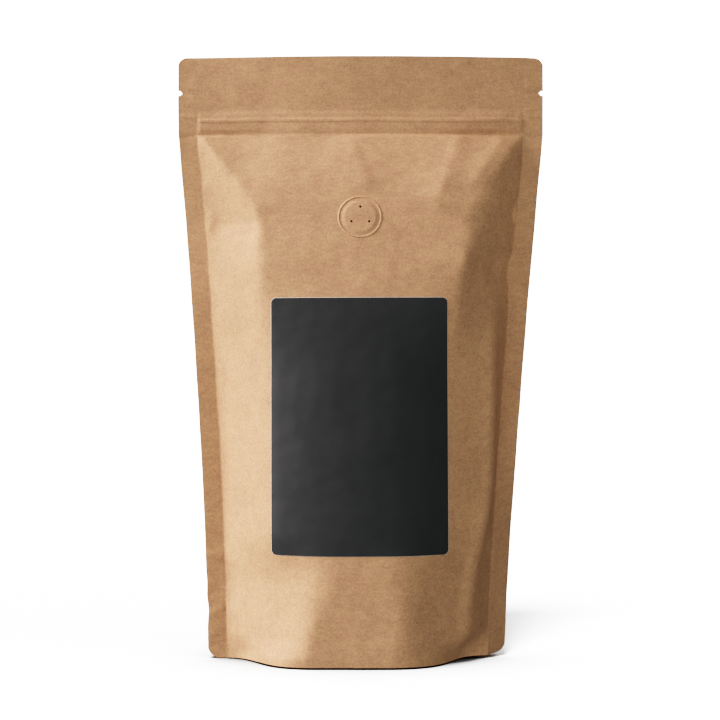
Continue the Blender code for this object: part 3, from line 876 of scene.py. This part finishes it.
def white_sweep():
    """Seamless white background paper: flat, bright and without any shine. Painted shade: ambient
    occlusion darkens its colour in the narrow gap round the pouch's foot, standing in for the
    contact shadow there."""
    material, tree, shader = new_material("White seamless paper", 0.9, 0.0)
    place = add_node(tree, "ShaderNodeTexCoord").outputs["Object"]
    tone = weighted(tree, ((grain(tree, place, 30.0 * MM), 0.2),))
    paper = add_node(tree, "ShaderNodeMix", {"data_type": "RGBA"}, Factor=tone,
                     _6=(0.89, 0.89, 0.89, 1.0), _7=(0.91, 0.91, 0.91, 1.0))
    # Painted shade: the floor's colour is multiplied down by ambient occlusion near the pouch's
    # foot.
    foot_occlusion = add_node(tree, "ShaderNodeAmbientOcclusion", {"samples": 16}, Distance=45.0 * MM)
    painted_shade_share = add_node(tree, "ShaderNodeMapRange", Value=foot_occlusion.outputs["AO"], _1=0.3, _2=1.0,
                          _3=0.06)
    shaded = add_node(tree, "ShaderNodeMix", {"data_type": "RGBA", "blend_type": "MULTIPLY"},
                      Factor=1.0, _6=paper.outputs[2], _7=painted_shade_share.outputs[0])
    tree.links.new(shaded.outputs[2], shader.inputs["Base Color"])
    return material


# ---- Building -----------------------------------------------------------------------------
def placed(mesh, name):
    """The mesh as an object at the origin, smooth but for its real edges."""
    mesh.shade_smooth()
    mesh.set_sharp_from_angle(angle=SHARP_EDGE)
    thing = bpy.data.objects.new(name, mesh)
    bpy.context.scene.collection.objects.link(thing)
    return thing


def finished(bm, name, *materials):
    """The same for a mesh that is still being edited, with its materials."""
    mesh = bpy.data.meshes.new(name)
    bm.to_mesh(mesh)
    bm.free()
    for material in materials:
        mesh.materials.append(material)
    return placed(mesh, name)


def front_wall():
    """The front wall, which the pouch, the label and the valve share."""
    return Wall(True, slope_left, slope_right, front_relief)


def kraft(settings):
    """The one kraft paper that the pouch and its valve share."""
    return bpy.data.materials.get("Unbleached kraft paper") or kraft_paper(settings)


class POUCH_OT_bag(bpy.types.Operator):
    """Build the paper pouch"""
    bl_idname = "pouch.bag"
    bl_label = "Pouch"

    def execute(self, context):
        settings = context.scene.pouch
        back = Wall(False, slope_back, slope_back, back_relief)
        skin = pouch_skin(front_wall(), back, settings)
        bag = finished(skin, "paper_pouch", kraft(settings))
        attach(bag, "root")
        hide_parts("pouch")
        return {"FINISHED"}


class POUCH_OT_label(bpy.types.Operator):
    """Lay the blank label on the front wall"""
    bl_idname = "pouch.label"
    bl_label = "Label"

    def execute(self, context):
        settings = context.scene.pouch_label
        sheet = label_sheet(front_wall(), settings, context.scene.pouch)
        label = finished(sheet, "front_label", black_label(settings), label_core(settings))
        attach(label, "root")
        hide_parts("label")
        return {"FINISHED"}


class POUCH_OT_valve(bpy.types.Operator):
    """Emboss the gas valve and pierce its pinholes"""
    bl_idname = "pouch.valve"
    bl_label = "Valve"

    def execute(self, context):
        settings = context.scene.pouch_valve
        paper = kraft(context.scene.pouch)
        blank = finished(valve_cap(front_wall(), settings, context.scene.pouch), "valve_blank",
                         paper)
        valve = pierced(blank, "valve_cap", settings, paper)
        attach(valve, "root")
        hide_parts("valve")
        return {"FINISHED"}


class POUCH_OT_stage(bpy.types.Operator):
    """Set the floor, the light and the camera"""
    bl_idname = "pouch.stage"
    bl_label = "Studio"

    def execute(self, context):
        scene = context.scene
        studio = scene.pouch_studio
        bm = bmesh.new()
        bmesh.ops.create_grid(bm, x_segments=1, y_segments=1, size=20.0)
        floor = finished(bm, "floor", white_sweep())
        floor.visible_diffuse = False       # it neither lights the pouch nor shows in its gloss
        floor.visible_glossy = False

        world = bpy.data.worlds.new("Studio")
        scene.world = world
        world.use_nodes = True
        tree = world.node_tree
        back = tree.nodes["Background"]
        place = add_node(tree, "ShaderNodeTexCoord")
        lean = add_node(tree, "ShaderNodeVectorMath", {"operation": "DOT_PRODUCT"},
                        _0=place.outputs["Generated"], _1=ROOM_LEAN)
        room = add_node(tree, "ShaderNodeMath", {"operation": "ADD"},
                        _0=lean.outputs["Value"], _1=studio.room)
        room = add_node(tree, "ShaderNodeMath", {"operation": "MAXIMUM"},
                        _0=room.outputs[0], _1=0.1)
        back.inputs["Color"].default_value = (*studio.room_colour, 1.0)
        tree.links.new(room.outputs[0], back.inputs["Strength"])
        seen = add_node(tree, "ShaderNodeBackground", Color=(1, 1, 1, 1), Strength=FILM_WHITE)
        path = add_node(tree, "ShaderNodeLightPath")
        mix = add_node(tree, "ShaderNodeMixShader", _0=path.outputs["Is Camera Ray"],
                       _1=back.outputs[0], _2=seen.outputs[0])
        tree.links.new(mix.outputs[0], tree.nodes["World Output"].inputs["Surface"])

        shown = [thing for thing in scene.collection.all_objects if thing is not floor]
        self.sun(scene, "Key", studio.key, studio.key_colour, 40, 86, 33, shown)
        self.sun(scene, "Rear", 1.9, WHITE_LIGHT, 40, 180, 30, shown)
        self.sun(scene, "Sweep front", 8.2, WHITE_LIGHT, 14, 9, 50, [floor])
        self.sun(scene, "Sweep right", 2.0, WHITE_LIGHT, 40, -40, 48, [floor])
        film_curve(scene)

        lens = bpy.data.cameras.new("Camera")
        camera = bpy.data.objects.new("Camera", lens)
        scene.collection.objects.link(camera)
        camera.location = (0.2 * MM, -CAMERA_AWAY, CAMERA_HEIGHT)
        camera.rotation_euler = (math.pi / 2, 0, 0)
        lens.sensor_width = 36.0
        lens.lens = lens.sensor_width * CAMERA_AWAY / FIELD
        scene.camera = camera
        return {"FINISHED"}

    def sun(self, scene, name, strength, colour, spread, left, rise, lit):
        """A soft light of a spread in degrees, for the objects it lights. It stands round to
        the camera's left and above it, by the degrees given."""
        light = bpy.data.lights.new(name, "SUN")
        light.energy = math.pi * strength
        light.color = colour
        light.angle = math.radians(spread)
        lamp = bpy.data.objects.new(name, light)
        side, rise = math.radians(left), math.radians(rise)
        away = Vector((-math.cos(rise) * math.sin(side), -math.cos(rise) * math.cos(side),
                       math.sin(rise)))
        lamp.rotation_euler = away.to_track_quat("Z", "Y").to_euler()
        scene.collection.objects.link(lamp)
        receivers = bpy.data.collections.new(name + " receivers")
        for thing in lit:
            receivers.objects.link(thing)
        lamp.light_linking.receiver_collection = receivers


def film_curve(scene):
    """The soft tone curve of camera film: deep colours in shade and pale ones in the light."""
    view = scene.view_settings
    view.view_transform = "Standard"
    view.use_curve_mapping = True
    mapping = view.curve_mapping
    mapping.white_level = (FILM_WHITE, FILM_WHITE, FILM_WHITE)
    curve = mapping.curves[3]
    for share in np.geomspace(0.004, 0.7, 14):
        light = (share * FILM_WHITE) ** FILM_CONTRAST
        curve.points.new(share, FILM_REACH * light / (1.0 + light))
    mapping.update()


class POUCH_PT_panel(bpy.types.Panel):
    """Everything that this file builds, and its settings"""
    bl_idname = "POUCH_PT_panel"
    bl_label = "Coffee Pouch"
    bl_space_type = "VIEW_3D"
    bl_region_type = "UI"
    bl_category = "Pouch"

    def draw(self, context):
        scene = context.scene
        for operator, settings in (("pouch.bag", scene.pouch), ("pouch.label", scene.pouch_label),
                                   ("pouch.valve", scene.pouch_valve),
                                   ("pouch.stage", scene.pouch_studio)):
            box = self.layout.box()
            box.operator(operator)
            for name in settings.__annotations__:
                box.prop(settings, name)


GROUPS = {"pouch": PouchSettings, "pouch_label": LabelSettings, "pouch_valve": ValveSettings,
          "pouch_studio": StudioSettings}
CLASSES = (*GROUPS.values(), POUCH_OT_bag, POUCH_OT_label, POUCH_OT_valve, POUCH_OT_stage,
           POUCH_PT_panel)


def register():
    for each in CLASSES:
        bpy.utils.register_class(each)
    for name, group in GROUPS.items():
        setattr(bpy.types.Scene, name, bpy.props.PointerProperty(type=group))


def unregister():
    for name in GROUPS:
        delattr(bpy.types.Scene, name)
    for each in reversed(CLASSES):
        bpy.utils.unregister_class(each)


def main():
    register()
    bpy.ops.pouch.bag()
    bpy.ops.pouch.label()
    bpy.ops.pouch.valve()
    bpy.ops.pouch.stage()


if __name__ == "__main__":
    main()
